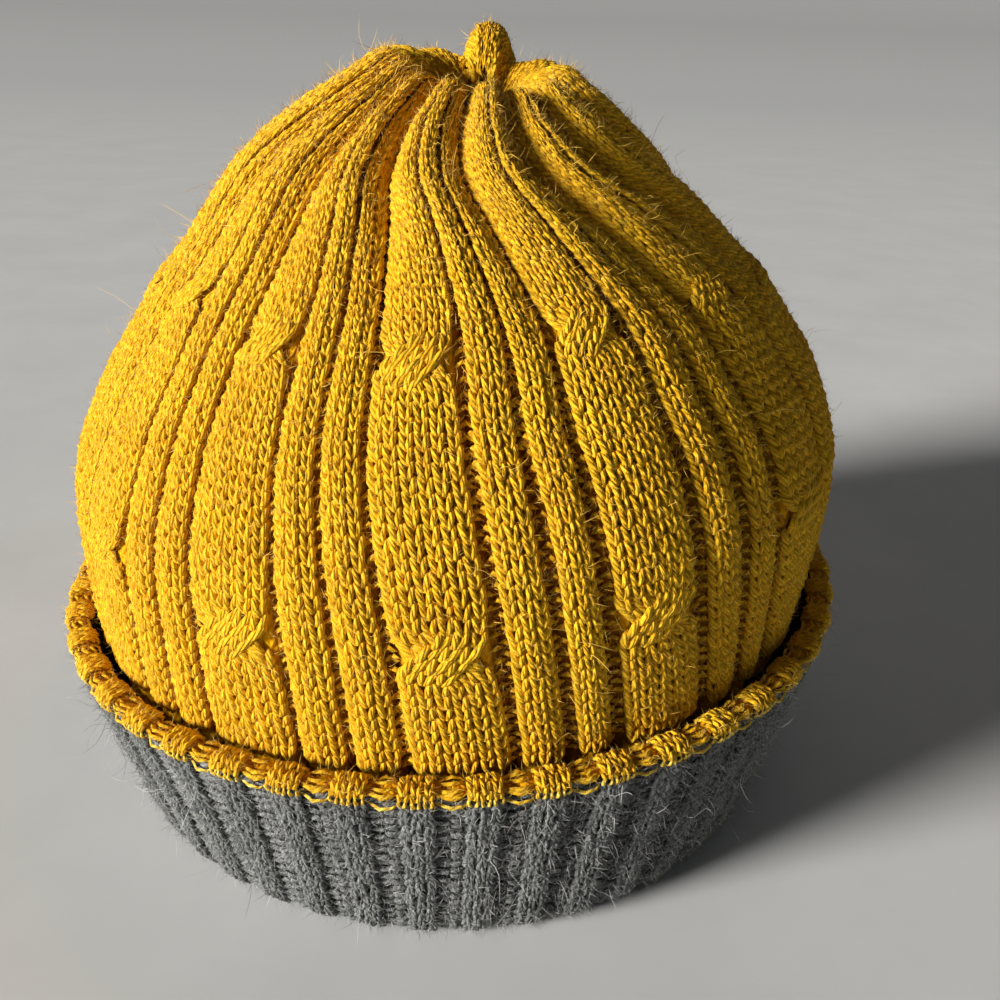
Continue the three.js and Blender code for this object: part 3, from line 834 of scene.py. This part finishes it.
def seam_tips(bag, wales):
    """The pointed foot of each yellow knit stitch, over the first grey row."""
    for side in (-1, 1):
        sway = rng.normal(0, 0.04, (len(wales), 1))
        place = wales[:, None] + 0.5 + side * np.array(TIP_SPREAD) + sway
        share, reach, lift = [np.array(column) for column in zip(*TIP_POINTS)]
        reach = reach + rng.normal(0, 0.25, (len(wales), 1))
        on_roll, roll_normal, _ = outward(roll_outward, place, ROLL_LENGTH + np.minimum(reach, 0))
        on_cuff, cuff_normal, _ = outward(cuff_outward, place, np.maximum(reach, CUFF_TOP))
        share = share[:, None]
        normal = unit(roll_normal + (cuff_normal - roll_normal) * share)
        centres = on_roll + (on_cuff - on_roll) * share + normal * lift[:, None]
        wide = np.array(TIP_WIDE) * rng.normal(1, 0.1, (len(wales), 1))
        yarns(bag, centres, normal, wide, wide, ROPE_ANGLES, rng.random(len(wales)))


def seam_links(bag, ribs):
    """A strand that sags below the rolled edge across the purl part of each rib."""
    place = -(ribs[:, None] + np.array(LINK_SIDE) + rng.normal(0, 0.06, (len(ribs), 1)))
    down = np.array(LINK_DOWN) + rng.normal(0, 0.2, (len(ribs), 1))
    here, normal, _ = outward(cuff_outward, place, np.maximum(down, CUFF_TOP))
    centres = here + normal * np.array(LINK_LIFT)[:, None]
    wide = np.array(LINK_WIDE) * rng.normal(1, 0.1, (len(ribs), 1))
    yarns(bag, centres, normal, wide, wide, ROPE_ANGLES, rng.random(len(ribs)))


bag = Bag()
seam_tips(bag, -rib_knits - 1)
seam_links(bag, rib_middles)
dress(bag.mesh("seam_loops"), mustard_tips_highlit, "mustard_edge")

# Lining: the grey layer that shows inside, above the hem. It follows the crown's levels inside
# its wall, from the hem's top to a ceiling under the dimple.
LINING_INSET = 7
LINING_GROOVE = 0.6
LINING_ROWS = slice(1, 13)
LINING_RUN = np.arange(0, 143, 4.0)
HEM_TOP = ((83, 29, 0, 0), (87.5, 44, 0, 0))
CEILING = ((0.34, 0.835, 0.4, 0.55), (0.2, 0.85, 0.5, 0.6), (0.06, 0.855, 0.5, 0.6))


def crown_levels(radius, height, right, ahead):
    """Levels in millimetres from their shares in the crown's table."""
    return np.stack([radius * CROWN_RADIUS, ROLL_TOP + (HAT_HEIGHT - ROLL_TOP) * height,
                     right * LEAN_RIGHT, ahead * LEAN_FORWARD], 1)


lining_levels = crown_levels(*[ROW[key][LINING_ROWS] for key in ("radius", "height", "right", "ahead")])
lining_levels[:, 0] -= LINING_INSET + FOLD_DEPTH * ROW["folds"][LINING_ROWS]
lining_levels = np.concatenate([HEM_TOP, lining_levels, crown_levels(*np.array(CEILING).T)])
lining_steps = np.linalg.norm(np.diff(lining_levels[:, :2], axis=0), axis=1)
lining_knots = np.concatenate([[0], np.cumsum(lining_steps)])


def lining(place, along):
    """Place counts wales all the way round, and along is the way up from the hem."""
    radius, height, right, ahead = [np.interp(along, lining_knots, column) for column in lining_levels.T]
    radius = radius - LINING_GROOVE * (1 - rib_relief(place))
    return ring_point(radius, rib_azimuth(place), height) + np.stack([right, -ahead, 0 * right], -1)


lining_places = np.arange(RIB_COUNT * RIB_WALES)
lining_piece = sheet_mesh("lining_knit", lining, rib_relief, lining_places, LINING_RUN, 0.0)
dress(lining_piece, grey_back, "grey_knit")


# Loose fibres: the longest as a share of the mean length, how deep they root in the cloth, and
# how far above the floor they stay
LONGEST = 1.5
ROOT_DEPTH = 0.3
FLOOR_GAP = 0.2


def ribbons(bag, centres, beside, thick, seeds):
    """Flat fibres through rows of centres, pointed at both ends."""
    count, rings = centres.shape[:2]
    inner = rings - 2
    reach = beside * thick
    edges = np.stack([centres[:, 1:-1] - reach, centres[:, 1:-1] + reach], 2)
    points = np.concatenate([centres[:, :1], edges.reshape(count, 2 * inner, 3), centres[:, -1:]], 1)
    size = 2 * inner + 2
    faces = [(0, 1, 2)]
    for ring in range(inner - 1):
        low = 1 + 2 * ring
        faces += [(low, low + 2, low + 3), (low, low + 3, low + 1)]
    faces.append((size - 3, size - 1, size - 2))
    marks = np.zeros(points.shape)
    marks[..., 2] = seeds[:, None]
    starts = np.arange(count)[:, None, None] * size
    bag.add(points.reshape(-1, 3), (np.array(faces)[None] + starts).reshape(-1, 3),
            marks.reshape(-1, 3))


def fuzz(bag, surface, wales, alongs, count, length, stand, thick, steps=3):
    """Fine curved fibres that start in the cloth and stay above the floor. stand is how
    steeply they leave the cloth, and thick is half their width."""
    wale = rng.uniform(*wales, count)
    along = rng.uniform(*alongs, count)
    here, normal, _ = outward(surface, wale, along)
    side = unit(np.cross(normal, rng.normal(0, 1, (count, 3))))
    steep = np.clip(rng.normal(stand, 0.35, (count, 1)), 0.03, 1.5)
    way = unit(side + normal * steep)
    curl = unit(rng.normal(0, 1, (count, 3))) * rng.uniform(0.3, 1.1, (count, 1))
    wave = unit(np.cross(way, rng.normal(0, 1, (count, 3)))) * rng.uniform(0, 0.2, (count, 1))
    size = np.minimum(rng.gamma(3, length / 3, (count, 1)), LONGEST * length)
    root = here - normal * ROOT_DEPTH
    centres = np.stack([root + (way * t + curl * t * t + wave * np.sin(7 * t)) * size
                        for t in np.linspace(0, 1, steps)], 1)
    centres[..., 2] = np.maximum(centres[..., 2], FLOOR_GAP)
    beside = unit(np.cross(way, normal + 0.6 * rng.normal(0, 1, (count, 3))))[:, None]
    ribbons(bag, centres, beside, thick * rng.uniform(0.7, 1.3, (count, 1, 1)), rng.random(count))


def fibre(name, colour):
    """Single fibres, each in its own shade of the colour."""
    material, tree = nodes_of(name)
    darker = tuple(0.35 * part for part in colour[:3]) + (1,)
    tint = mix_colour(tree, "MIX", marks_of(tree)[2], darker, colour)
    shader = shader_node(tree, tint, 0.7)
    shader.inputs["Sheen Weight"].default_value = 0.3
    return material


ALL_WALES = (0, REPEATS * WALES)
ALL_PLACES = (0, RIB_COUNT * RIB_WALES)
CROWN_RUN = (RIM_ARC, ARC[-4])
mustard_fibre = fibre("mustard_fibre", YELLOW_FIBRE)
grey_fibre = fibre("grey_fibre", GREY_FIBRE)
bag = Bag()
fuzz(bag, crown, ALL_WALES, CROWN_RUN, count=80000, length=1.7, stand=0.6, thick=0.05)
fuzz(bag, crown, ALL_WALES, CROWN_RUN, count=900, length=5, stand=0.7, thick=0.04, steps=7)
dress(bag.mesh("crown_fuzz"), mustard_fibre, "mustard_knit")
bag = Bag()
fuzz(bag, roll_outward, ALL_PLACES, (3, ROLL_LENGTH), count=8000, length=1.5, stand=0.5, thick=0.045)
dress(bag.mesh("rolled_fuzz"), mustard_fibre, "mustard_edge")
bag = Bag()
fuzz(bag, cuff_outward, ALL_PLACES, (0, 54), count=60000, length=2, stand=0.4, thick=0.05)
fuzz(bag, cuff_outward, ALL_PLACES, (0, 40), count=1000, length=5.5, stand=0.8, thick=0.045, steps=7)
dress(bag.mesh("cuff_fuzz"), grey_fibre, "grey_knit")

# Floor
cove = [(FLOOR_BACK + COVE_RADIUS * np.sin(turn), COVE_RADIUS * (1 - np.cos(turn)))
        for turn in np.linspace(0, np.pi / 2, COVE_STEPS)]
profile = [(-FLOOR_HALF, 0)] + cove + [(FLOOR_BACK + COVE_RADIUS, WALL_TOP)]
floor_points = [(x, y, z) for y, z in profile for x in (-FLOOR_HALF, FLOOR_HALF)]
floor_faces = [(2 * i, 2 * i + 1, 2 * i + 3, 2 * i + 2) for i in range(len(profile) - 1)]
floor_mesh = bpy.data.meshes.new("floor")
floor_mesh.from_pydata(floor_points, [], floor_faces)
floor_mesh.shade_smooth()
floor = bpy.data.objects.new("floor", floor_mesh)
bpy.context.scene.collection.objects.link(floor)
floor_mesh.materials.append(floor_material())

# Light: a broad low key from the left and front, a weak fill and a dim sky
KEY_POWER, KEY_SPREAD = 6.6, 16
KEY_WAY = Vector((0.84, 0.46, -0.25))
KEY_COLOUR = (1, 0.97, 0.92)
FILL_POWER, FILL_SIZE = 0.3, 1.2
FILL_PLACE, FILL_AIM = Vector((0.3, -1.3, 0.5)), Vector((0, 0, 0.1))
FILL_COLOUR = (0.97, 0.98, 1)
SKY_COLOUR, SKY_POWER = (0.86, 0.88, 0.9, 1), 0.04


def light(name, kind, power, colour, way):
    """A linked light that shines in the direction given."""
    lamp = bpy.data.lights.new(name, kind)
    lamp.energy = power
    lamp.color = colour
    made = bpy.data.objects.new(name, lamp)
    made.rotation_euler = way.to_track_quat("-Z", "Y").to_euler()
    bpy.context.scene.collection.objects.link(made)
    return made


key = light("key", "SUN", KEY_POWER, KEY_COLOUR, KEY_WAY)
key.data.angle = np.radians(KEY_SPREAD)
fill = light("fill", "AREA", FILL_POWER, FILL_COLOUR, FILL_AIM - FILL_PLACE)
fill.data.size = FILL_SIZE
fill.location = FILL_PLACE

world = bpy.data.worlds.new("studio")
world.use_nodes = True
sky = world.node_tree.nodes["Background"]
sky.inputs["Color"].default_value = SKY_COLOUR
sky.inputs["Strength"].default_value = SKY_POWER
bpy.context.scene.world = world

# Camera, fitted to the outlines of the rim, the fold and the crown
CAMERA_PLACE = Vector((13.13, -259.39, 195.31)) * MM
CAMERA_AHEAD = Vector((-0.000697, 0.899391, -0.437144))
CAMERA_UP = Vector((-0.033902, 0.436872, 0.898885))
LENS, SENSOR, CLIP_START = 36.72, 36, 0.01
camera_data = bpy.data.cameras.new("camera")
camera_data.lens = LENS
camera_data.sensor_width = SENSOR
camera_data.clip_start = CLIP_START
camera = bpy.data.objects.new("camera", camera_data)
right = CAMERA_AHEAD.cross(CAMERA_UP).normalized()
up = right.cross(CAMERA_AHEAD).normalized()
turn = Matrix((right, up, -CAMERA_AHEAD.normalized())).transposed()
camera.matrix_world = Matrix.Translation(CAMERA_PLACE) @ turn.to_4x4()
bpy.context.scene.collection.objects.link(camera)
bpy.context.scene.camera = camera

bpy.context.scene.view_settings.view_transform = "Standard"
bpy.context.view_layer.update()
